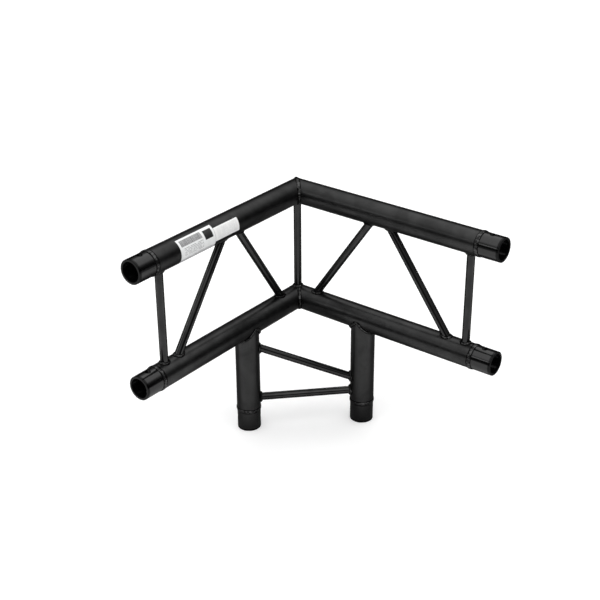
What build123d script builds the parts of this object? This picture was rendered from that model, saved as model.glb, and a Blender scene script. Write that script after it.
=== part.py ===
from build123d import *
import os

# Three-way corner section of a two-chord (ladder) lighting truss, in black powder-coated
# aluminium tube. Two arms meet at a right angle. Each arm is an upright ladder: an upper and a
# lower chord with brace tubes welded between them. Two short legs hang from the lower chords and
# form a third ladder, turned 45 degrees to the arms. Every one of the six tube ends carries a
# turned coupler sleeve with a socket for the next section's spigot and a cross hole for its pin.
#
# Frame, in millimetres: +Z up, the right arm runs along +X, the left arm along -Y. The origin is
# midway between the two legs, level with their ends, where an upright section joins on.

# Main tubes
chord_radius = 25.0
chord_wall = 2.0
chord_centres = 240.0  # upper to lower chord, and leg to leg
arm_reach = 480.0  # corner axis to the mouth of an arm socket
leg_drop = 240.0  # lower chord axis to the mouth of a leg socket
leg_offset = chord_centres / 2**0.5  # each leg from the corner axis, along its own arm

# Brace tubes. Arm braces are placed by the distance from the corner axis at which their centre
# line crosses the upper and the lower chord axis; the diagonals of the two arms are welded in a few
# millimetres apart. Leg braces are placed by their depth below the lower chord axis at each leg.
brace_radius = 8.0
brace_wall = 2.0
arm_braces = {
    "left": {"end_post": (410.0, 410.0), "outer_diagonal": (217.5, 388.5), "inner_diagonal": (203.0, 44.5)},
    "right": {"end_post": (412.0, 412.0), "outer_diagonal": (213.0, 386.5), "inner_diagonal": (198.5, 35.0)},
}
leg_braces = {"leg_diagonal": (43.0, 148.0), "leg_rung": (171.5, 170.0)}

# Coupler sleeves. Depths are measured from the mouth of the socket inwards.
sleeve_radius = 24.5
rim_round = 1.0
land_radius = 19.3  # the short cylindrical land that centres a spigot
lead_in = 0.6
land_end = 8.6
taper_end = 44.0
shoulder = 45.0  # the sleeve steps down here to the spigot inside the chord
bore_radius = 17.0
spigot_end = 67.0
spigot_chamfer = 1.5
pin_depth = 25.0
pin_hole_radius = 6.0

# Welds
seam_gap = 4.0  # between the end of a chord and the sleeve's shoulder
seam_toe_on_sleeve = 41.0  # depth of the seam's edge on the sleeve
seam_toe_on_chord = 51.5
seam_height = 1.3  # above the chord's surface
foot_leg = 4.0  # leg length of the bead round a brace foot
cap_half_width = 4.5  # raised bead over a seam between two main tubes
cap_proud = 1.2
cap_round = 3.0
inner_proud = 4.0  # the same bead in the inside corner, measured out from the corner

# Stickers on the inner side of the upper left chord. Angles go from straight up towards the
# inside of the corner, then under.
film = 0.2
large_sticker_from = 279.2
large_sticker_to = 373.3
large_sticker_top_angle = 20.5
large_sticker_bottom_angle = 145.0
small_sticker_from = 211.5
small_sticker_to = 278.7
small_sticker_top_angle = 43.0
small_sticker_bottom_angle = 105.0

# Directions and heights in the frame
right = Vector(1, 0, 0)
left = Vector(0, -1, 0)
up = Vector(0, 0, 1)
down = Vector(0, 0, -1)
across_legs = (right - left).normalized()
lower_level = leg_drop
upper_level = leg_drop + chord_centres
corner = Vector(-leg_offset / 2, leg_offset / 2, 0)
chord_end = arm_reach - shoulder - seam_gap
leg_end = shoulder + seam_gap


def on_arm(arm, distance, level):
    """A point on an arm's mid-plane."""
    return corner + arm * distance + up * level


def on_leg(arm, depth):
    """A point on a leg's axis, at a depth below the lower chord axis."""
    return on_arm(arm, leg_offset, lower_level - depth)


def rod(start, end, radius):
    """A solid round bar from one point to another, its seam line kept clear of the welds."""
    span = end - start
    seam_side = span.cross(up) if abs(span.Z) < span.length else across_legs.cross(up)
    seat = (Align.CENTER, Align.CENTER, Align.MIN)
    place = Plane(origin=start, x_dir=seam_side, z_dir=span)
    return place * Cylinder(radius, span.length, align=seat)


def tube(start, end, radius, wall):
    """A round tube, open at both ends."""
    return rod(start, end, radius) - rod(start, end, radius - wall)


def mitred(arm, level, radius):
    """One arm's share of a solid corner at a chord level, cut on the mitre plane."""
    overrun = on_arm(arm, -2 * radius, level)
    bar = rod(overrun, on_arm(arm, arm_reach, level), radius)
    side = Keep.TOP if arm == right else Keep.BOTTOM
    return split(bar, bisect_by=Plane(origin=corner, z_dir=across_legs), keep=side)


def chord(arm, level):
    """A chord tube, mitred at the corner and squared off short of its sleeve."""
    overrun = on_arm(arm, -2 * chord_radius, level)
    pipe = tube(overrun, on_arm(arm, chord_end, level), chord_radius, chord_wall)
    side = Keep.TOP if arm == right else Keep.BOTTOM
    return split(pipe, bisect_by=Plane(origin=corner, z_dir=across_legs), keep=side)


def leg(arm):
    """A leg tube, cut at its head to sit round the underside of the lower chord."""
    head = on_leg(arm, 0)
    pipe = tube(on_leg(arm, leg_drop - leg_end), head, chord_radius, chord_wall)
    return pipe - chord_bar(arm, lower_level)


def chord_bar(arm, level):
    """A chord's outline as a solid bar, run past the corner."""
    start = on_arm(arm, -2 * chord_radius, level)
    return rod(start, on_arm(arm, arm_reach, level), chord_radius)


def coupler(mouth, inward, pin_direction):
    """A turned sleeve: tapered socket, cross-pin hole, and a spigot that fits the chord."""
    spigot_radius = chord_radius - chord_wall
    outline = [
        (land_radius + lead_in, 0),
        (sleeve_radius, 0),
        (sleeve_radius, shoulder),
        (spigot_radius, shoulder),
        (spigot_radius, spigot_end - spigot_chamfer),
        (spigot_radius - spigot_chamfer, spigot_end),
        (bore_radius, spigot_end),
        (bore_radius, taper_end),
        (land_radius, land_end),
        (land_radius, lead_in),
    ]
    section = make_face(Polyline([(r, 0, depth) for r, depth in outline], close=True))
    rim = section.vertices().sort_by_distance((sleeve_radius, 0, 0))[0]
    body = revolve(fillet(rim, rim_round), Axis.Z)
    hole = Pos(0, 0, pin_depth) * Rot(0, 90, 0) * Cylinder(pin_hole_radius, 3 * sleeve_radius)
    body = body - hole
    return Plane(origin=mouth, x_dir=pin_direction, z_dir=inward) * body


def seam(mouth, inward, pin_direction):
    """The weld that fills the gap between a chord's end and its sleeve, and crowns over both."""
    crown = ThreePointArc(
        (sleeve_radius, 0, seam_toe_on_sleeve),
        (chord_radius + seam_height, 0, (seam_toe_on_sleeve + seam_toe_on_chord) / 2),
        (chord_radius, 0, seam_toe_on_chord),
    )
    root = Polyline(
        (chord_radius, 0, seam_toe_on_chord),
        (chord_radius, 0, shoulder + seam_gap),
        (chord_radius - chord_wall, 0, shoulder + seam_gap),
        (chord_radius - chord_wall, 0, shoulder),
        (sleeve_radius, 0, shoulder),
        (sleeve_radius, 0, seam_toe_on_sleeve),
    )
    bead = revolve(make_face(crown + root), Axis.Z)
    return Plane(origin=mouth, x_dir=pin_direction, z_dir=inward) * bead


def foot_bead(host, start, end):
    """The flat-faced bead round the end of a brace, where its centre line starts inside host."""
    way = (end - start).normalized()
    brace = rod(start, start + way * 4 * chord_radius, brace_radius)
    joined = host + brace
    size = 4 * brace_radius
    ring = joined.edges().filter_by(lambda e: e.bounding_box().diagonal < size)
    ring = ring.filter_by(lambda e: (e.center() - start).length < 2 * chord_radius)
    return chamfer(ring, foot_leg) - joined


def corner_foot_bead(level, start, end):
    """The bead round an end of the corner post, made in two halves that meet on the mitre."""
    mitre = Plane(origin=corner, z_dir=across_legs)
    right_half = split(foot_bead(chord_bar(right, level), start, end), bisect_by=mitre, keep=Keep.TOP)
    left_half = split(foot_bead(chord_bar(left, level), start, end), bisect_by=mitre, keep=Keep.BOTTOM)
    return right_half + left_half


def seam_disc(centre, way_a, way_b):
    """A rounded disc on the mitre plane of two equal tubes, a little larger than their seam."""
    inner = (way_a + way_b).normalized()
    normal = (way_a - way_b).normalized()
    offset = (inner_proud - cap_proud) / 2
    long_radius = chord_radius * 2**0.5 + (inner_proud + cap_proud) / 2
    face = Plane(origin=centre + inner * offset, x_dir=inner, z_dir=normal)
    disc = extrude(face * Ellipse(long_radius, chord_radius + cap_proud), cap_half_width, both=True)
    return fillet(disc.edges().filter_by(GeomType.ELLIPSE), cap_round)


def saddle_half(centre, way, bars):
    """Half of the bead where a leg's head meets the chord, on the side that way points to."""
    half = split(seam_disc(centre, way, down), bisect_by=Plane(origin=centre, z_dir=way), keep=Keep.TOP)
    return half - bars[0] - bars[1]


def add_brace(name, ends, hosts, feet):
    """A brace tube coped to the bars it runs between, and the bead round each of its feet."""
    start, end = ends
    parts[name] = tube(start, end, brace_radius, brace_wall) - hosts[0] - hosts[1]
    parts[f"{name}_{feet[0]}_weld"] = foot_bead(hosts[0], start, end)
    parts[f"{name}_{feet[1]}_weld"] = foot_bead(hosts[1], end, start)


def sticker(near, far, top_angle, bottom_angle):
    """A thin film wrapped round the inner side of the upper left chord."""
    centre = on_arm(left, near, upper_level)
    section = Pos(chord_radius + film / 2, 0, 0) * Plane.XZ * Rectangle(film, far - near)
    patch = revolve(section, Axis.Z, revolution_arc=bottom_angle - top_angle)
    turned = Pos(0, 0, (far - near) / 2) * Rot(0, 0, top_angle) * patch
    return Plane(origin=centre, x_dir=up, z_dir=left) * turned


parts = {}
arms = {"left": left, "right": right}
levels = {"upper": upper_level, "lower": lower_level}
head_and_foot = ("upper", "lower")

# Chords, legs, and the coupler and its seam at each of the six ends
for side, arm in arms.items():
    for height, level in levels.items():
        mouth = on_arm(arm, arm_reach, level)
        parts[f"{height}_{side}_chord"] = chord(arm, level)
        parts[f"{height}_{side}_coupler"] = coupler(mouth, -arm, up)
        parts[f"{height}_{side}_coupler_weld"] = seam(mouth, -arm, up)
    mouth = on_leg(arm, leg_drop)
    parts[f"{side}_leg_tube"] = leg(arm)
    parts[f"{side}_leg_coupler"] = coupler(mouth, up, across_legs)
    parts[f"{side}_leg_coupler_weld"] = seam(mouth, up, across_legs)

# Braces of the two arms
corner_bars = {h: mitred(left, z, chord_radius) + mitred(right, z, chord_radius) for h, z in levels.items()}
corner_ends = (corner + up * upper_level, corner + up * lower_level)
post_tube = tube(corner_ends[0], corner_ends[1], brace_radius, brace_wall)
parts["corner_post"] = post_tube - corner_bars["upper"] - corner_bars["lower"]
parts["corner_post_upper_weld"] = corner_foot_bead(upper_level, corner_ends[0], corner_ends[1])
parts["corner_post_lower_weld"] = corner_foot_bead(lower_level, corner_ends[1], corner_ends[0])
for side, arm in arms.items():
    hosts = (chord_bar(arm, upper_level), chord_bar(arm, lower_level))
    for name, (head, foot) in arm_braces[side].items():
        ends = (on_arm(arm, head, upper_level), on_arm(arm, foot, lower_level))
        add_brace(f"{side}_{name}", ends, hosts, head_and_foot)

# Braces between the legs
leg_bars = tuple(rod(on_leg(arm, 0), on_leg(arm, leg_drop), chord_radius) for arm in (left, right))
for name, depths in leg_braces.items():
    ends = (on_leg(left, depths[0]), on_leg(right, depths[1]))
    add_brace(name, ends, leg_bars, ("left", "right"))

# Welds between the main tubes: the mitred corners, and each leg's head under its chord
for height, level in levels.items():
    centre = corner + up * level
    bead = seam_disc(centre, left, right)
    post = rod(corner_ends[0], corner_ends[1], brace_radius)
    parts[f"{height}_corner_weld"] = bead - corner_bars[height] - post - parts[f"corner_post_{height}_weld"]
for side, arm in arms.items():
    centre = on_leg(arm, 0)
    bars = (chord_bar(arm, lower_level), rod(centre, on_leg(arm, leg_drop), chord_radius))
    outer_half = saddle_half(centre, arm, bars)
    parts[f"{side}_leg_weld"] = outer_half + saddle_half(centre, -arm, bars)

# Stickers
parts["large_sticker"] = sticker(
    large_sticker_from, large_sticker_to, large_sticker_top_angle, large_sticker_bottom_angle
)
parts["small_sticker"] = sticker(
    small_sticker_from, small_sticker_to, small_sticker_top_angle, small_sticker_bottom_angle
)

os.makedirs("parts", exist_ok=True)
for name, shape in parts.items():
    export_step(shape, f"parts/{name}.step")
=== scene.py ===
import math

import bpy
import numpy as np
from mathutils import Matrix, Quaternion, Vector


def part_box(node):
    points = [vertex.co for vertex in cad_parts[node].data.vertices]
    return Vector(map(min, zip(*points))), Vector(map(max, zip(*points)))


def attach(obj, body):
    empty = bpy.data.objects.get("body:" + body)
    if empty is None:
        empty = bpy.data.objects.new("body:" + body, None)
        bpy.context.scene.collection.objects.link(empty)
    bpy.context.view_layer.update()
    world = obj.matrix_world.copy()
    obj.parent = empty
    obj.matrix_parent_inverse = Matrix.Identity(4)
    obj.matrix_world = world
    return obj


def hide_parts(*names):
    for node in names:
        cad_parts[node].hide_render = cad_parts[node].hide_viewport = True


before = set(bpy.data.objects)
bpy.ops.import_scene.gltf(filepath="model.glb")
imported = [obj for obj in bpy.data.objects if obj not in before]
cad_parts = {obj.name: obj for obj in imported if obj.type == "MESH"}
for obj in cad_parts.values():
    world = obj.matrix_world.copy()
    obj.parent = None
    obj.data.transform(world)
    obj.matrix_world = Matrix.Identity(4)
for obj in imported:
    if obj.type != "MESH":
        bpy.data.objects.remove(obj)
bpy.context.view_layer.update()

# The look of a three-way corner section of ladder lighting truss: black powder-coated tube, lumpy
# coated weld beads, glossier turned coupler sleeves, and two stickers with plain shapes for print.
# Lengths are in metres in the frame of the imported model, and the places of the pieces are read from
# its nodes.

MM = 0.001
UP = np.array([0.0, 0.0, 1.0])

SIDES = ("left", "right")
LEVELS = ("upper", "lower")
ARM_BRACES = ("end_post", "outer_diagonal", "inner_diagonal")

TUBE_WALL = 2 * MM
TUBE_ROWS = 25
MAIN_COLUMNS, BRACE_COLUMNS = 96, 48
SLEEVE_BORE = 19.3 * MM  # radius of the socket's bore
SLEEVE_RADIUS = 24.5 * MM
SLEEVE_LENGTH = 45 * MM

# Each kind of weld bead: points round it, height of its crown, height and length of its ripples.
BEADS = {
    "foot": (220, 0.75 * MM, 0.22 * MM, 3.2 * MM),
    "seam": (520, 0.90 * MM, 0.26 * MM, 3.8 * MM),
    "corner": (640, 0.85 * MM, 0.26 * MM, 3.8 * MM),
    "leg": (620, 1.10 * MM, 0.34 * MM, 3.8 * MM),
}
BEAD_COLUMNS = 15
# From a bead's root to each of its edges, and how much less that is where the bead is narrowest.
FOOT_LEG = 4.0 * MM
CORNER_LEG, CORNER_LESS = 6.2 * MM, 1.4 * MM
HEAD_LEG, HEAD_LESS = 5.6 * MM, 1.0 * MM
FULLNESS = 0.7  # share of a bead's crown that rises steeply from its edges
WIDTH_SWING, WIDTH_KNOTS = 0.15, 13
CROWN_SWING, CROWN_KNOTS = 0.28, 15
RIPPLE_GAPS, RIPPLE_HEIGHTS = (0.75, 1.25), (0.6, 1.3)
LAG = 0.9  # how far a ripple trails in the middle of the bead, in ripples
STOP_HEIGHT, STOP_LENGTH = 0.35 * MM, 2.2 * MM  # the lump where the welder stopped
SUNK = 0.35 * MM  # how far a bead's hidden back lies under the surfaces

LARGE_EDGES, SMALL_EDGES = (20.5, 145.0), (43.0, 105.0)  # degrees round the chord from its top
FILM_ROWS, FILM_COLUMNS = 62, 56
FILM_CORNER = 0.7 * MM
FILM_HEIGHT, FILM_LUMP = 0.13 * MM, 0.018 * MM
FILM_WAVES = 9

GLANCING = (0.35, 0.80)  # where a coat's shine begins to fade and is gone, 1 being edge on
COAT_DARK, COAT_PALE = (0.0016, 0.0016, 0.0017), (0.0028, 0.0028, 0.0029)
COAT_SPECK, COAT_RUBBED = (0.010, 0.010, 0.010), (0.050, 0.047, 0.044)
SLEEVE_DARK, SLEEVE_PALE = (0.0012, 0.0012, 0.0013), (0.0020, 0.0020, 0.0021)
SLEEVE_RING, SLEEVE_NICK = (0.0040, 0.0040, 0.0040), (0.060, 0.058, 0.056)
LARGE_PAPER, SMALL_PAPER = (0.86, 0.87, 0.87), (0.89, 0.89, 0.885)
PAPER_SHADE, PAPER_FLECK = (0.78, 0.785, 0.78), (0.45, 0.44, 0.42)


# ---------------------------------------------------------------- reading the frame


def unit(v):
    """The vector or vectors v at length one."""
    v = np.asarray(v, float)
    return v / np.linalg.norm(v, axis=-1, keepdims=True)


def node_mesh(name):
    """A CAD node's vertices and its triangles' corner indices."""
    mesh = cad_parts[name].data
    co = np.array([v.co for v in mesh.vertices], float)
    corners = np.array([p.vertices[:3] for p in mesh.polygons])
    return co, corners


class Tube:
    """A round tube of the frame: a point on its axis, the axis, its radius and its two ends."""

    def __init__(self, name):
        co, corners = node_mesh(name)
        a, b, c = (co[corners[:, i]] for i in range(3))
        longest = max(np.ptp(co, axis=0))
        sides = [np.linalg.norm(p - q, axis=1) for p, q in ((a, b), (b, c), (c, a))]
        skin = np.cross(b - a, c - a)[np.maximum.reduce(sides) > longest / 3]
        self.name = name
        self.way = np.linalg.eigh(skin.T @ skin)[1][:, 0]  # no long triangle faces along the axis
        self.across = unit(np.cross(self.way, UP if abs(self.way[2]) < 0.99 else (0.0, 1.0, 0.0)))
        self.beside = np.cross(self.way, self.across)
        flat = np.stack([co @ self.across, co @ self.beside], axis=1)
        middle = (flat.min(0) + flat.max(0)) / 2
        spread = np.linalg.norm(flat - middle, axis=1)
        outer = flat[spread > spread.max() - TUBE_WALL / 2]
        system = np.c_[2 * outer, np.ones(len(outer))]
        fitted = np.linalg.lstsq(system, (outer**2).sum(1), rcond=None)[0]
        self.radius = math.sqrt(fitted[2] + fitted[0] ** 2 + fitted[1] ** 2)
        self.point = self.across * fitted[0] + self.beside * fitted[1]
        along = co @ self.way
        self.low, self.high = along.min(), along.max()

    def turned(self, outwards):
        """The same tube with its axis pointing the way that outwards points."""
        if self.way @ np.asarray(outwards, float) < 0:
            self.way, self.beside = -self.way, -self.beside
            self.low, self.high = -self.high, -self.low
        return self

    def at(self, distance):
        """The point of the axis at a distance along it."""
        return self.point + self.way * distance

    def ring(self, count):
        """Directions straight out of the tube, evenly spaced round it."""
        turn = np.linspace(0, 2 * math.pi, count, endpoint=False)
        return np.outer(np.cos(turn), self.across) + np.outer(np.sin(turn), self.beside)

    def span(self, node):
        """Where a node's box begins and ends along the tube."""
        return sorted(self.way @ np.array(end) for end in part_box(node))

    def normal(self, points):
        """The directions straight out of the tube at the given points."""
        rel = points - self.point
        return unit(rel - np.outer(rel @ self.way, self.way))

    def onto(self, points):
        """The given points moved straight in or out to the tube's surface."""
        rel = points - self.point
        foot = self.point + np.outer(rel @ self.way, self.way)
        return foot + self.normal(points) * self.radius


def exits(starts, way, host):
    """How far each start, inside the host tube's solid, travels along way to reach its surface."""
    rel = starts - host.point
    rel = rel - np.outer(rel @ host.way, host.way)
    go = way - host.way * (way @ host.way)
    a, b = go @ go, rel @ go
    c = (rel**2).sum(1) - host.radius**2
    return (-b + np.sqrt(np.maximum(b * b - a * c, 0))) / a


# ---------------------------------------------------------------- making pieces


def grid_faces(rows, columns, rows_close):
    """Quads of a grid whose columns close on themselves, with each corner's row and column."""
    last = rows if rows_close else rows - 1
    faces, places = [], []
    for r in range(last):
        for c in range(columns):
            quad = ((r, c), (r, c + 1), (r + 1, c + 1), (r + 1, c))
            faces.append([(i % rows) * columns + j % columns for i, j in quad])
            places.extend(quad)
    return faces, places


def piece(node, points, faces, plan, material, crease=45):
    """A smooth piece that stands for a CAD node. plan holds a UV for each face corner."""
    mesh = bpy.data.meshes.new(node)
    mesh.from_pydata([tuple(p) for p in points], [], faces)
    layer = mesh.uv_layers.new(name="Plan")
    layer.data.foreach_set("uv", np.asarray(plan, float).ravel())
    mesh.polygons.foreach_set("use_smooth", [True] * len(mesh.polygons))
    mesh.set_sharp_from_angle(angle=math.radians(crease))
    mesh.validate()
    mesh.materials.append(material)
    obj = bpy.data.objects.new(node, mesh)
    bpy.context.scene.collection.objects.link(obj)
    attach(obj, "root")
    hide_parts(node)


def tube_piece(tube, starts, ends, columns, material, slot):
    """A hollow tube whose two ends are cut to the shape that starts and ends give.

    Each is a function from the offsets of lines round the axis to where they begin or stop.
    """
    rows = TUBE_ROWS
    ring = tube.ring(columns)
    skins = []
    for radius in (tube.radius, tube.radius - TUBE_WALL):
        first, last = starts(ring * radius), ends(ring * radius)
        share = np.linspace(0, 1, rows)[:, None]
        along = first + (last - first) * share
        skins.append(tube.point + ring * radius + along[:, :, None] * tube.way)
    points = np.concatenate([skins[0], skins[1][::-1]]).reshape(-1, 3)
    faces, places = grid_faces(2 * rows, columns, True)
    around = 2 * math.pi * tube.radius / columns
    step = (tube.high - tube.low) / (rows - 1)
    plan = [(min(r, 2 * rows - 1 - r) * step, c * around) for r, c in places]
    piece(tube.name, points, faces, plan, material)


def noise_along(rng, count, knots):
    """A smooth closed random curve that reaches 1 or -1, with up to knots swings."""
    turn = np.linspace(0, 2 * math.pi, count, endpoint=False)
    curve = np.zeros(count)
    for k in range(1, knots + 1):
        curve += rng.normal() * np.cos(k * turn + rng.uniform(0, 2 * math.pi)) / math.sqrt(k)
    return curve / max(1e-9, np.abs(curve).max())


def bead(kind, node, root, toe_a, toe_b, outwards, material, seed):
    """A closed weld bead round a joint, laid as overlapping ripples.

    root runs round the joint, toe_a and toe_b are the bead's edges on the two surfaces, and
    outwards is the way it bulges.
    """
    rng = np.random.default_rng(seed)
    count, crown, ripple, pitch = BEADS[kind]
    width_a = 1 + WIDTH_SWING * noise_along(rng, count, WIDTH_KNOTS)
    width_b = 1 + WIDTH_SWING * noise_along(rng, count, WIDTH_KNOTS)
    a = root + (toe_a - root) * width_a[:, None]
    b = root + (toe_b - root) * width_b[:, None]
    steps = np.linalg.norm(np.roll(root, -1, axis=0) - root, axis=1)
    travelled = np.concatenate([[0], np.cumsum(steps)[:-1]])
    total = steps.sum()
    ripples = max(4, round(total / pitch))
    gaps = rng.uniform(*RIPPLE_GAPS, ripples)
    edges = np.concatenate([[0], np.cumsum(gaps)]) / gaps.sum() * total
    heights = rng.uniform(*RIPPLE_HEIGHTS, ripples)

    flat = (a + b) / 2
    lumps = 1 + CROWN_SWING * noise_along(rng, count, CROWN_KNOTS)
    rise = np.maximum(((flat - root) * outwards).sum(1), 0) + crown * (1 - FULLNESS) * lumps
    stop = rng.uniform(0, total)
    gap = np.abs((travelled - stop + total / 2) % total - total / 2)
    rise = rise + STOP_HEIGHT * np.exp(-((gap / STOP_LENGTH) ** 2))
    handle = 2 * (root + outwards * rise[:, None]) - flat

    rows = []
    for u in np.linspace(0, 1, BEAD_COLUMNS):
        line = (1 - u) ** 2 * a + 2 * u * (1 - u) * handle + u**2 * b
        lag = LAG * pitch * (1 - (2 * u - 1) ** 2)
        phase = np.interp((travelled - lag) % total, edges, np.arange(ripples + 1))
        height = heights[np.minimum(phase.astype(int), ripples - 1)]
        wave = height * np.abs(np.sin(math.pi * phase)) ** 0.6 - 0.6
        envelope = math.sin(math.pi * u) ** 0.7 if 0 < u < 1 else 0.0
        swell = crown * FULLNESS * lumps * max(0.0, math.sin(math.pi * u)) ** 0.5
        rows.append(line + outwards * (ripple * wave * envelope + swell)[:, None])
    rows.append(b - outwards * SUNK + (root - b) * 0.1)
    rows.append(root - outwards * SUNK)
    rows.append(a - outwards * SUNK + (root - a) * 0.1)
    points = np.stack(rows, axis=1).reshape(-1, 3)
    faces, places = grid_faces(count, len(rows), True)

    # The plan gives each point's distance from the nearer edge, and how far round the bead it is.
    widths = np.linalg.norm(b - a, axis=1)
    shares = np.zeros(len(rows))
    shares[:BEAD_COLUMNS] = np.linspace(0, 1, BEAD_COLUMNS)
    from_toe = np.outer(widths, np.minimum(shares, 1 - shares))
    spots = [(r % count, c % len(rows)) for r, c in places]
    spots = [spots[4 * k + i] for k in range(len(faces)) for i in (3, 2, 1, 0)]
    plan = [(from_toe[r, c], travelled[r]) for r, c in spots]
    piece(node, points, [f[::-1] for f in faces], plan, material, crease=75)


# ---------------------------------------------------------------- the tubes

ARM_WAY = {"left": (0, -1, 0), "right": (1, 0, 0)}
chords = {(h, s): Tube(f"{h}_{s}_chord").turned(ARM_WAY[s]) for h in LEVELS for s in SIDES}
legs = {s: Tube(f"{s}_leg_tube").turned(-UP) for s in SIDES}
corner = np.array([chords["upper", "left"].point[0], chords["upper", "right"].point[1], 0])


def constant(value):
    """A flat cut square to the axis."""
    return lambda offsets: np.full(len(offsets), value)


def mitre_cut(tube):
    """Where lines along a chord begin on the mitre plane through the corner."""
    normal = unit(chords["upper", "right"].way - chords["upper", "left"].way)

    def cut(offsets):
        return ((corner - tube.point - offsets) @ normal) / (tube.way @ normal)

    return cut


def cope(tube, hosts, outwards):
    """Where lines along a brace leave its hosts, which are one chord or a mitred pair."""
    start = (hosts[0].point - tube.point) @ tube.way
    if len(hosts) == 1:
        middle = np.cross(np.cross(tube.way, hosts[0].way), hosts[0].way)
        start = ((hosts[0].point - tube.point) @ middle) / (tube.way @ middle)

    def cut(offsets):
        begin = tube.point + offsets + tube.way * start
        reach = np.min([exits(begin, tube.way * outwards, h) for h in hosts], axis=0)
        return start + outwards * reach

    return cut


def brace_hosts():
    """Each brace's name with the hosts at its two ends."""
    rows = {"corner_post": [[chords[h, s] for s in SIDES] for h in LEVELS]}
    for s in SIDES:
        for b in ARM_BRACES:
            rows[f"{s}_{b}"] = [[chords[h, s]] for h in LEVELS]
    for b in ("leg_diagonal", "leg_rung"):
        rows[b] = [[legs[s]] for s in SIDES]
    return rows


def foot_bead(tube, hosts, outwards, node, material, seed):
    """The bead round one foot of a brace."""
    ring = tube.ring(BEADS["foot"][0]) * tube.radius
    root = tube.point + ring + np.outer(cope(tube, hosts, outwards)(ring), tube.way)
    side = unit(ring)
    way = tube.way * outwards
    nearest = np.argmin([exits(root - way * (20 * MM), way, h) for h in hosts], axis=0)
    normals = np.array([hosts[k].normal(root[i:i + 1])[0] for i, k in enumerate(nearest)])
    spread = unit(side - normals * (side * normals).sum(1)[:, None])
    toe_a = root + spread * FOOT_LEG
    toe_a = np.array([hosts[k].onto(toe_a[i:i + 1])[0] for i, k in enumerate(nearest)])
    toe_b = root + way * FOOT_LEG
    bead("foot", node, root, toe_a, toe_b, unit(side + normals), material, seed)


def build_tubes(coats):
    """All fifteen tubes and the beads round the feet of the nine braces."""
    heads = [(tube, mitre_cut(tube)) for tube in chords.values()]
    heads += [(tube, cope(tube, [chords["lower", side]], 1)) for side, tube in legs.items()]
    for tube, head in heads:
        end = constant(tube.high)
        tube_piece(tube, head, end, MAIN_COLUMNS, coats["main"], "main_tube_coat")
    for order, (name, ends) in enumerate(brace_hosts().items()):
        towards = ends[1][0].point - ends[0][0].point if name.startswith("leg") else -UP
        tube = Tube(name).turned(towards)
        cuts = [cope(tube, hosts, outwards) for hosts, outwards in zip(ends, (1, -1))]
        tube_piece(tube, *cuts, BRACE_COLUMNS, coats["brace"], "brace_tube_coat")
        feet = SIDES if name.startswith("leg") else LEVELS
        for foot, hosts, outwards in zip(feet, ends, (1, -1)):
            seed = 100 + 2 * order + outwards
            foot_bead(tube, hosts, outwards, f"{name}_{foot}_weld", coats["weld"], seed)


# ---------------------------------------------------------------- the welds between main tubes


def seam_bead(tube, sleeve_node, node, material, seed):
    """The bead between a main tube's square end and its coupler sleeve."""
    start, end = tube.span(node)
    ring = tube.ring(BEADS["seam"][0])
    sleeve_low, sleeve_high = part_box(sleeve_node)
    root = tube.at((start + end) / 2) + ring * tube.radius
    toe_a = tube.at(start) + ring * tube.radius
    toe_b = tube.at(end) + ring * (min(sleeve_high - sleeve_low) / 2)
    bead("seam", node, root, toe_a, toe_b, ring, material, seed)


def corner_bead(height, node, material, seed):
    """The bead round the mitre of two chords: a fillet inside the corner, a low cap outside it."""
    one, other = chords[height, "right"], chords[height, "left"]
    ring = one.ring(BEADS["corner"][0]) * one.radius
    root = one.point + ring + np.outer(mitre_cut(one)(ring), one.way)
    outwards = unit(one.normal(root) + other.normal(root))
    inside = np.clip(outwards @ unit(one.way + other.way), 0, 1)
    leg = (CORNER_LEG - CORNER_LESS * inside)[:, None]
    toe_a, toe_b = root + one.way * leg, root + other.way * leg
    bead("corner", node, root, toe_a, toe_b, outwards, material, seed)


def leg_bead(side, node, material, seed):
    """The bead round a leg's head, where it sits on the underside of the chord."""
    tube, host = legs[side], chords["lower", side]
    out = tube.ring(BEADS["leg"][0])
    ring = out * tube.radius
    root = tube.point + ring + np.outer(cope(tube, [host], 1)(ring), tube.way)
    on_host = host.normal(root)
    lean = out @ host.way
    flatwise = out - on_host * (out * on_host).sum(1)[:, None]
    flatwise = flatwise - np.outer(flatwise @ host.way, host.way)
    spread = np.outer(np.tanh(lean / 0.15), host.way) + flatwise
    leg = (HEAD_LEG - HEAD_LESS * np.abs(lean))[:, None]
    toe_a = host.onto(root + unit(spread) * leg)
    toe_b = root + tube.way * leg
    bead("leg", node, root, toe_a, toe_b, unit(out + on_host), material, seed)


# ---------------------------------------------------------------- the stickers


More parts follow.
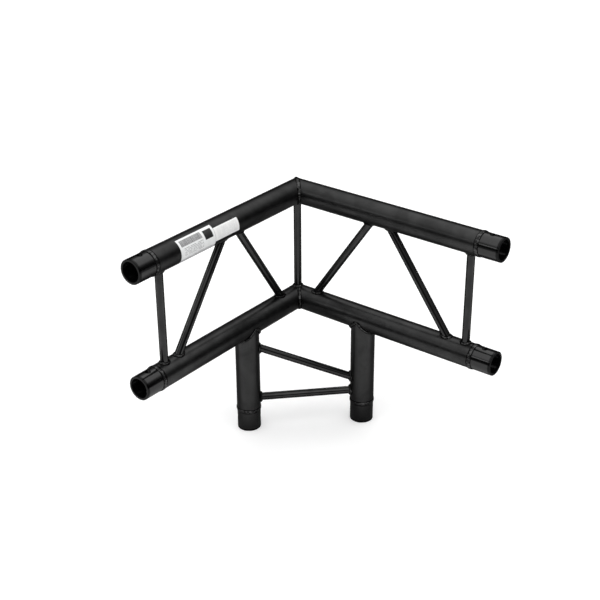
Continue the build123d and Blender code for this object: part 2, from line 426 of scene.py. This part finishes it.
def sticker(node, tube, around, material, seed):
    """A thin film wrapped on a chord, with rounded corners and a few shallow ripples.

    around gives its two edges as angles from straight up, towards the inside of the corner. Its
    plan runs along the chord from the end nearer the corner, and round it from the upper edge.
    """
    rng = np.random.default_rng(seed)
    start, end = tube.span(node)
    inwards = unit(chords["upper", "right"].way + chords["upper", "left"].way - tube.way)
    rounding = FILM_CORNER * (1 - np.cos(np.linspace(0, math.pi / 2, 7)))
    straight = np.linspace(start, end, FILM_ROWS)[3:-3]
    rows = np.concatenate([start + rounding, straight, end - rounding[::-1]])
    gap = np.minimum(rows - start, end - rows)
    short = np.maximum(FILM_CORNER - gap, 0)
    inset = FILM_CORNER - np.sqrt(np.maximum(FILM_CORNER**2 - short**2, 0))
    share = np.linspace(0, 1, FILM_COLUMNS)
    arc_low, arc_high = (math.radians(a) * tube.radius for a in around)
    arcs = (arc_low + inset)[:, None] + (arc_high - arc_low - 2 * inset)[:, None] * share
    along = np.repeat(rows[:, None], len(share), axis=1)
    edge = np.minimum.reduce([gap[:, None] + 0 * arcs, arcs - arc_low, arc_high - arcs])
    lumps = 0
    for _ in range(FILM_WAVES):
        size, lengthwise, crosswise = rng.normal(), rng.uniform(60, 420), rng.uniform(60, 420)
        lumps = lumps + size * np.cos(along * lengthwise + arcs * crosswise + rng.uniform(0, 6))
    height = FILM_HEIGHT + FILM_LUMP * lumps * np.clip(edge / (4 * MM), 0, 1)

    def lay(radius):
        turn = arcs / tube.radius
        out = np.cos(turn)[:, :, None] * UP + np.sin(turn)[:, :, None] * inwards
        return tube.point + along[:, :, None] * tube.way + out * np.asarray(radius)[..., None]

    top = lay(tube.radius + height)
    under = lay(np.full(arcs.shape, tube.radius + 0.01 * MM))
    count, columns = arcs.shape
    points = np.concatenate([top.reshape(-1, 3), under.reshape(-1, 3)])
    index = np.arange(count * columns).reshape(count, columns)
    faces = []
    for r in range(count - 1):
        for c in range(columns - 1):
            quad = [index[r, c], index[r, c + 1], index[r + 1, c + 1], index[r + 1, c]]
            faces.append(quad)
            faces.append([k + count * columns for k in reversed(quad)])
    rim = [*index[0, :-1], *index[:-1, -1], *index[-1, :0:-1], *index[:0:-1, 0]]
    for a, b in zip(rim, rim[1:] + rim[:1]):
        faces.append([b, a, a + count * columns, b + count * columns])
    faces = [[int(k) for k in f] for f in faces]
    normal = np.cross(top[1, 0] - top[0, 0], top[0, 1] - top[0, 0])
    if normal @ (top[0, 0] - tube.at(start)) > 0:
        faces = [f[::-1] for f in faces]
    flat = np.stack([(along - start).ravel(), (arcs - arc_low).ravel()], axis=1)
    flat = np.concatenate([flat, flat])
    plan = [flat[k] for f in faces for k in f]
    piece(node, points, faces, plan, material, crease=30)


# ---------------------------------------------------------------- materials


class Look:
    """A material's node tree, filled one node at a time."""

    def __init__(self, name):
        self.material = bpy.data.materials.new(name)
        self.material.use_nodes = True
        self.tree = self.material.node_tree
        self.tree.nodes.clear()
        self.place = self.add("ShaderNodeTexCoord").outputs["Object"]

    def add(self, kind, inputs=None, **settings):
        """One node with its settings, and its inputs given as numbers, colours or sockets."""
        node = self.tree.nodes.new(kind)
        for key, value in settings.items():
            setattr(node, key, value)
        for key, value in (inputs or {}).items():
            if isinstance(value, bpy.types.NodeSocket):
                self.tree.links.new(value, node.inputs[key])
            else:
                node.inputs[key].default_value = value
        return node

    def maths(self, operation, a, b=0.0):
        """A number worked out from one or two others."""
        return self.add("ShaderNodeMath", {0: a, 1: b}, operation=operation).outputs[0]

    def times(self, *values):
        """Numbers multiplied together."""
        product = values[0]
        for value in values[1:]:
            product = self.maths("MULTIPLY", product, value)
        return product

    def vector(self, operation, *inputs):
        """The outputs of one step of vector maths."""
        inputs = dict(enumerate(inputs))
        return self.add("ShaderNodeVectorMath", inputs, operation=operation).outputs

    def noise(self, scale, detail=3.0, roughness=0.55, vector=None, distortion=0.0):
        """A noise value, whose swings are about 1 / scale metres long."""
        place = self.place if vector is None else vector
        inputs = {"Vector": place, "Scale": scale, "Detail": detail, "Roughness": roughness}
        inputs["Distortion"] = distortion
        return self.add("ShaderNodeTexNoise", inputs).outputs["Fac"]

    def ramp(self, value, low, high, out_low=0.0, out_high=1.0):
        """A value carried from one range to another, smoothly and clamped."""
        inputs = {"Value": value, "From Min": low, "From Max": high}
        inputs.update({"To Min": out_low, "To Max": out_high})
        node = self.add("ShaderNodeMapRange", inputs, interpolation_type="SMOOTHSTEP")
        return node.outputs["Result"]

    def stretched(self, factors):
        """The place with each direction scaled, which draws a noise out along the small ones."""
        return self.vector("MULTIPLY", self.place, factors)[0]

    def blend(self, factor, a, b):
        """Colour a where the factor is 0 and colour b where it is 1."""
        node = self.add("ShaderNodeMix", {"Factor": factor}, data_type="RGBA")
        for key, value in (("A", a), ("B", b)):
            socket = [s for s in node.inputs if s.name == key and s.type == "RGBA"][0]
            if isinstance(value, bpy.types.NodeSocket):
                self.tree.links.new(value, socket)
            else:
                socket.default_value = (*value, 1.0)
        return [s for s in node.outputs if s.type == "RGBA"][0]

    def plan(self):
        """The two numbers of the piece's own plan."""
        uv = self.add("ShaderNodeUVMap", uv_map="Plan").outputs["UV"]
        return self.add("ShaderNodeSeparateXYZ", {0: uv}).outputs

    def bump(self, height, depth, under=None):
        """A bump whose height of 1 stands depth metres proud, laid over another."""
        inputs = {"Height": height, "Distance": depth, "Strength": 1.0}
        if under is not None:
            inputs["Normal"] = under
        return self.add("ShaderNodeBump", inputs).outputs["Normal"]

    def finish(self, **inputs):
        """The surface itself."""
        named = {key.replace("_", " "): value for key, value in inputs.items()}
        shader = self.add("ShaderNodeBsdfPrincipled", named)
        self.add("ShaderNodeOutputMaterial", {"Surface": shader.outputs["BSDF"]})
        return self.material


def shine_off(look, square_on, glancing):
    """How shiny a fine-textured coat is: less at a glancing angle, where its grain hides gloss."""
    facing = look.add("ShaderNodeLayerWeight", {"Blend": 0.5}).outputs["Facing"]
    return look.ramp(facing, *GLANCING, square_on, glancing)


def powder_coat(name, grain, roughness, dust, toes=False):
    """Black satin powder coat: orange peel, a fine grain, uneven sheen, specks and light rub marks.

    On a bead, which has toes, the coat is mottled, with painted shade along both ragged edges.
    """
    look = Look(name)
    cloud = look.noise(14, 4)
    patch = look.noise(60, 5, vector=look.stretched((1.0, 1.0, 0.6)))
    speck = look.noise(1500, 2)
    rub = look.noise(240, 6, 0.7, distortion=0.8)
    rubbed = look.times(look.ramp(rub, 0.60, 0.72), look.ramp(patch, 0.50, 0.68))
    base = look.blend(look.ramp(cloud, 0.35, 0.65), COAT_DARK, COAT_PALE)
    base = look.blend(look.ramp(speck, 0.62, 0.78, 0, 0.5), base, COAT_SPECK)
    base = look.blend(look.times(rubbed, dust), base, COAT_RUBBED)
    shine = look.ramp(patch, 0.3, 0.7, roughness - 0.035, roughness + 0.045)
    shine = look.maths("ADD", shine, look.times(rubbed, 0.12))
    normal = look.bump(look.noise(520, 2), 0.030 * MM * grain)
    normal = look.bump(look.noise(2300, 2), 0.012 * MM * grain, normal)
    smear = look.noise(26, 4, 0.6, vector=look.stretched((1.0, 1.0, 0.7)), distortion=0.6)
    uneven = look.ramp(smear, 0.30, 0.72, 1.12, 0.72)
    level = look.times(shine_off(look, 0.48, 0.10), uneven)
    if toes:
        swing = look.maths("SUBTRACT", look.noise(150, 3), 0.5)
        ragged = look.maths("ADD", look.plan()[0], look.times(swing, 6.5 * MM))
        # Painted shade: the shine is cut nearly to nothing along both toes, to darken the creases.
        edge = look.ramp(ragged, 0.9 * MM, 2.5 * MM, 0.02, 1.15)
        mottle = look.ramp(look.noise(230, 3), 0.40, 0.60, 0.35, 1.60)
        level = look.times(level, edge, mottle)
    return look.finish(Base_Color=base, Roughness=shine, Specular_IOR_Level=level, Normal=normal)


def turned_coat(name, tube):
    """Semi-gloss black over turned metal: fine rings round the sleeve, coarser in the bore.

    Painted shade: its shine is cut inside the sleeve, where little light comes, and on its end face.
    """
    look = Look(name)
    point, way = tuple(tube.at(tube.high)), tuple(tube.way)
    rel = look.vector("SUBTRACT", look.place, point)[0]
    along = look.vector("DOT_PRODUCT", rel, way)["Value"]
    radius = look.vector("LENGTH", look.vector("CROSS_PRODUCT", rel, way)[0])["Value"]

    def falls(value, edge, start, stop):
        return look.ramp(value, edge + start * MM, edge + stop * MM, 1.0, 0.0)

    bore = falls(radius, SLEEVE_BORE, 0.4, 0.8)
    under_skin = falls(radius, SLEEVE_RADIUS, -0.4, -0.1)
    behind_mouth = falls(along, SLEEVE_LENGTH, -2.0, -1.0)
    behind_face = falls(along, SLEEVE_LENGTH, -0.35, -0.15)
    inside = look.maths("MAXIMUM", bore, look.times(under_skin, behind_mouth))
    line = look.add("ShaderNodeCombineXYZ", {"X": along}).outputs[0]
    fine = look.noise(2600, 1, vector=line)
    coarse = look.noise(900, 1, vector=line)
    rings = look.times(look.maths("ADD", fine, coarse), 0.5)
    patch = look.noise(55, 4)
    nick = look.ramp(look.noise(420, 5, 0.65, distortion=1.2), 0.66, 0.74)
    nick = look.times(nick, look.ramp(look.noise(45, 2), 0.48, 0.62))
    base = look.blend(look.ramp(patch, 0.35, 0.65), SLEEVE_DARK, SLEEVE_PALE)
    base = look.blend(look.ramp(coarse, 0.4, 0.6, 0.0, 0.35), base, SLEEVE_RING)
    base = look.blend(look.times(nick, 0.55), base, SLEEVE_NICK)
    shine = look.ramp(patch, 0.3, 0.7, 0.10, 0.15)
    shine = look.maths("ADD", shine, look.times(inside, 0.10))
    depth = look.times(rings, look.ramp(inside, 0, 1, 0.004, 0.030))
    normal = look.bump(depth, 1 * MM)
    normal = look.bump(look.noise(700, 2), 0.006 * MM, normal)
    # Painted shade: the shine falls to about a third inside the sleeve and a quarter on the end face.
    level = look.times(shine_off(look, 0.50, 0.12), look.ramp(inside, 0, 1, 1.0, 0.35))
    level = look.times(level, look.ramp(behind_face, 0, 1, 0.28, 1.0))
    return look.finish(Base_Color=base, Roughness=shine, Specular_IOR_Level=level, Normal=normal)


class Print:
    """Plain shapes printed on a sticker, placed in millimetres along and round it."""

    def __init__(self, look):
        self.look = look
        split = look.plan()
        wobble = look.times(look.maths("SUBTRACT", look.noise(900, 1), 0.5), 0.12 * MM)
        self.along = look.maths("ADD", split[0], wobble)
        self.around = look.maths("ADD", split[1], wobble)

    def band(self, value, low, high, blur=0.12):
        """1 where a value is between two places in millimetres, and 0 outside."""
        rise = self.look.ramp(value, (low - blur) * MM, (low + blur) * MM)
        fall = self.look.ramp(value, (high - blur) * MM, (high + blur) * MM, 1.0, 0.0)
        return self.look.times(rise, fall)

    def box(self, along, around, blur=0.12):
        """A filled rectangle."""
        lengthwise = self.band(self.along, *along, blur)
        crosswise = self.band(self.around, *around, blur)
        return self.look.times(lengthwise, crosswise)

    def bars(self, pitch, dark):
        """Bars of uneven width across the sticker, more of them dark where dark is larger."""
        look = self.look
        line = look.add("ShaderNodeCombineXYZ", {"X": self.along}).outputs[0]
        return look.ramp(look.noise(1 / (pitch * MM), 1, vector=line), 0.56 - dark, 0.58 - dark)

    def rules(self, along, around, pitch, thick):
        """Thin rules along the sticker, broken at uneven places."""
        look = self.look
        count = look.times(self.around, 1 / (pitch * MM))
        rule = look.ramp(look.maths("FRACT", count), thick, thick + 0.12, 1.0, 0.0)
        row = look.maths("FLOOR", count)
        line = look.add("ShaderNodeCombineXYZ", {"X": self.along, "Y": row}).outputs[0]
        broken = look.ramp(look.noise(150, 0, vector=line), 0.40, 0.42)
        return look.times(rule, broken, self.box(along, around))


def vinyl(look, ink, paper):
    """White satin vinyl, a little uneven and dirty, with grey inks, each where its mask says."""
    cloud = look.noise(70, 4)
    colour = look.blend(look.ramp(cloud, 0.45, 0.75, 0, 0.6), paper, PAPER_SHADE)
    colour = look.blend(look.ramp(look.noise(900, 3), 0.66, 0.74, 0, 0.25), colour, PAPER_FLECK)
    for mask, tone in ink:
        colour = look.blend(mask, colour, (tone, tone, tone * 1.02))
    shine = look.ramp(cloud, 0.3, 0.7, 0.34, 0.46)
    normal = look.bump(look.noise(1400, 2), 0.006 * MM)
    return look.finish(Base_Color=colour, Roughness=shine, Specular_IOR_Level=0.4, Normal=normal)


def large_sticker_look():
    """A grey block of bars, a plain dark square, rules, and a greyer lower edge."""
    look = Look("large_sticker_vinyl")
    ink = Print(look)
    block = ink.box((33.0, 89.0), (4.2, 17.0), 0.4)
    bars = look.times(block, look.ramp(ink.bars(0.9, 0.10), 0, 1, 0.50, 0.95))
    square = ink.box((5.5, 27.0), (6.0, 24.0))
    rules = ink.rules((33.0, 84.0), (20.5, 36.0), 2.6, 0.30)
    foot = ink.rules((8.0, 60.0), (38.5, 43.0), 2.2, 0.30)
    base = ink.box((0.0, 95.0), (42.5, 55.0), 1.5)
    inks = [(base, 0.52), (bars, 0.20), (rules, 0.36), (foot, 0.36), (square, 0.02)]
    return vinyl(look, inks, LARGE_PAPER)


def small_sticker_look():
    """Blank, but for rules too faint to be more than a texture."""
    look = Look("small_sticker_vinyl")
    ink = Print(look)
    rules = look.times(ink.rules((5.0, 61.0), (3.0, 24.0), 1.9, 0.35), 0.30)
    return vinyl(look, [(rules, 0.45)], SMALL_PAPER)


# ---------------------------------------------------------------- building


def build():
    """Every piece of the truss, each in the material of its kind of surface."""
    coats = {
        "main": powder_coat("main_powder_coat", grain=1.0, roughness=0.31, dust=0.45),
        "brace": powder_coat("brace_powder_coat", grain=0.7, roughness=0.125, dust=0.30),
        "weld": powder_coat("weld_powder_coat", grain=1.0, roughness=0.20, dust=0.35, toes=True),
    }
    build_tubes(coats)
    runs = [(f"{h}_{s}", chords[h, s]) for h in LEVELS for s in SIDES]
    runs += [(f"{s}_leg", legs[s]) for s in SIDES]
    for order, (name, tube) in enumerate(runs):
        seam_bead(tube, f"{name}_coupler", f"{name}_coupler_weld", coats["weld"], seed=10 + order)
        coat = turned_coat(f"{name}_sleeve_coat", tube)
        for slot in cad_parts[f"{name}_coupler"].material_slots:
            slot.material = coat
    for order, side in enumerate(SIDES):
        leg_bead(side, f"{side}_leg_weld", coats["weld"], seed=30 + order)
    for order, height in enumerate(LEVELS):
        corner_bead(height, f"{height}_corner_weld", coats["weld"], seed=40 + order)
    chord = chords["upper", "left"]
    sticker("large_sticker", chord, LARGE_EDGES, large_sticker_look(), seed=50)
    sticker("small_sticker", chord, SMALL_EDGES, small_sticker_look(), seed=51)


build()


# ---------------------------------------------------------------- floor, light and camera

FLOOR_RADIUS = 60.0
FLOOR_DARK, FLOOR_PALE = (0.84, 0.84, 0.84), (0.86, 0.86, 0.86)
FLOOR_DIM, FLOOR_BRIGHT = (0.17, 0.17, 0.17), (0.85, 0.85, 0.85)  # in reflections
FLOOR_LIFT = 0.22  # added where the floor is seen directly, to match its surroundings
BRIGHT_WAY = (0.616, -0.788, 0.0)
BRIGHT_FROM = (0.0, 0.16)  # metres along that way
BRIGHT_TO = (1.4, 2.6, 1.0, 0.0)  # metres from the middle

# Surroundings by direction. Across is x / z, along and the wall are y / z, the rest is z. With four
# numbers, the brightness goes from the third to the fourth between the first two.
SOFTBOX = 1.85  # brightness
SOFTBOX_ACROSS = (-0.78, 1.29)
SOFTBOX_ALONG = (-1.50, 1.06)
SOFTBOX_BLUR = 0.13
WALL_BEHIND = (1.05, 1.55, 0.58, 0.16)
GROUND_EDGE = (-0.14, -0.07, 0.22, 0.02)
HORIZON_TOP = (0.24, 0.42)
ON_MATT = 1.26  # how much brighter the surroundings are for matt surfaces than in reflections
SEEN = 1.0  # their plain brightness where they are seen directly


def floor_look():
    """Plain pale paper. In reflections only the side of BRIGHT_WAY is bright."""
    look = Look("floor_paper")
    tone = look.blend(look.ramp(look.noise(1.5, 2), 0.3, 0.7), FLOOR_DARK, FLOOR_PALE)
    ahead = look.vector("DOT_PRODUCT", look.place, BRIGHT_WAY)["Value"]
    away = look.vector("LENGTH", look.place)["Value"]
    bright = look.times(look.ramp(ahead, *BRIGHT_FROM), look.ramp(away, *BRIGHT_TO))
    ray = look.add("ShaderNodeLightPath").outputs
    mirrored = look.blend(bright, FLOOR_DIM, FLOOR_BRIGHT)
    return look.finish(
        Base_Color=look.blend(ray["Is Glossy Ray"], tone, mirrored),
        Roughness=0.9,
        Specular_IOR_Level=0.1,
        Normal=look.bump(look.noise(180, 2), 0.05 * MM),
        Emission_Color=(1.0, 1.0, 1.0, 1.0),
        Emission_Strength=look.times(ray["Is Camera Ray"], FLOOR_LIFT),
    )


def floor():
    """A wide round floor at the height of the legs' ends."""
    turn = np.linspace(0, 2 * math.pi, 128, endpoint=False)
    circle = np.stack([np.cos(turn), np.sin(turn), 0 * turn], axis=1) * FLOOR_RADIUS
    mesh = bpy.data.meshes.new("floor")
    mesh.from_pydata([tuple(p) for p in circle], [], [tuple(range(len(turn)))])
    mesh.materials.append(floor_look())
    obj = bpy.data.objects.new("floor", mesh)
    bpy.context.scene.collection.objects.link(obj)


def soft_light(name, place, aim, width, depth, radiance):
    """A softbox of that width and depth, facing its aim."""
    data = bpy.data.lights.new(name, "AREA")
    data.shape, data.size, data.size_y = "RECTANGLE", width, depth
    data.energy = radiance * math.pi * width * depth
    obj = bpy.data.objects.new(name, data)
    obj.location = place
    obj.rotation_mode = "QUATERNION"
    obj.rotation_quaternion = (Vector(aim) - Vector(place)).to_track_quat("-Z", "Y")
    bpy.context.scene.collection.objects.link(obj)


class Surroundings(Look):
    """The world's node tree, filled the same way as a material's."""

    def __init__(self, name):
        world = bpy.data.worlds.new(name)
        world.use_nodes = True
        self.tree = world.node_tree
        self.tree.nodes.clear()
        self.place = self.add("ShaderNodeTexCoord").outputs["Generated"]
        bpy.context.scene.world = world

    def between(self, value, low, high, blur):
        """1 where a value is between two others, fading to 0 outside."""
        rise = self.ramp(value, low - blur, low + blur)
        fall = self.ramp(value, high - blur, high + blur, 1.0, 0.0)
        return self.times(rise, fall)

    def lerp(self, factor, a, b):
        """Brightness a where the factor is 0 and brightness b where it is 1."""
        return self.add("ShaderNodeMix", {"Factor": factor, "A": a, "B": b}).outputs["Result"]


def sky():
    """A studio's surroundings: a wide softbox overhead, a dim wall, and a dark horizon and ground.

    Seen directly they are plain and pale.
    """
    look = Surroundings("studio")
    x, y, z = look.add("ShaderNodeSeparateXYZ", {0: look.place}).outputs
    above = look.maths("MAXIMUM", z, 0.05)
    across, along = look.maths("DIVIDE", x, above), look.maths("DIVIDE", y, above)
    within_x = look.between(across, *SOFTBOX_ACROSS, SOFTBOX_BLUR)
    within_y = look.between(along, *SOFTBOX_ALONG, SOFTBOX_BLUR)
    softbox = look.times(within_x, within_y)
    wall = look.ramp(along, *WALL_BEHIND)
    overhead = look.lerp(softbox, wall, SOFTBOX)
    ground = look.ramp(z, *GROUND_EDGE)
    around = look.lerp(look.ramp(z, *HORIZON_TOP), ground, overhead)
    ray = look.add("ShaderNodeLightPath").outputs
    around = look.times(around, look.ramp(ray["Is Diffuse Ray"], 0, 1, 1.0, ON_MATT))
    strength = look.lerp(ray["Is Camera Ray"], around, SEEN)
    shade = look.add("ShaderNodeBackground", {"Strength": strength})
    look.add("ShaderNodeOutputWorld", {"Surface": shade.outputs[0]})


def camera(azimuth, elevation, roll, distance, aim, lens):
    """A camera that looks at the aim point from an azimuth and elevation in degrees."""
    a, e = math.radians(azimuth), math.radians(elevation)
    back = Vector((math.sin(a) * math.cos(e), -math.cos(a) * math.cos(e), math.sin(e)))
    data = bpy.data.cameras.new("camera")
    data.lens, data.sensor_width = lens, 36.0
    data.clip_end = 200
    obj = bpy.data.objects.new("camera", data)
    obj.location = Vector(aim) + back * distance
    obj.rotation_mode = "QUATERNION"
    turn = (-back).to_track_quat("-Z", "Y")
    obj.rotation_quaternion = turn @ Quaternion((0, 0, 1), math.radians(roll))
    bpy.context.scene.collection.objects.link(obj)
    bpy.context.scene.camera = obj


floor()
soft_light(
    "low_strip",
    place=(-1.11, -1.92, 1.30),
    aim=(0.37, 0.085, 0.40),
    width=2.2,
    depth=0.28,
    radiance=1.9,
)
sky()
camera(
    azimuth=38.031,
    elevation=27.267,
    roll=-0.379,
    distance=2.4262,
    aim=(0.03901, -0.06674, 0.32880),
    lens=74.471,
)
bpy.context.scene.view_settings.view_transform = "Standard"
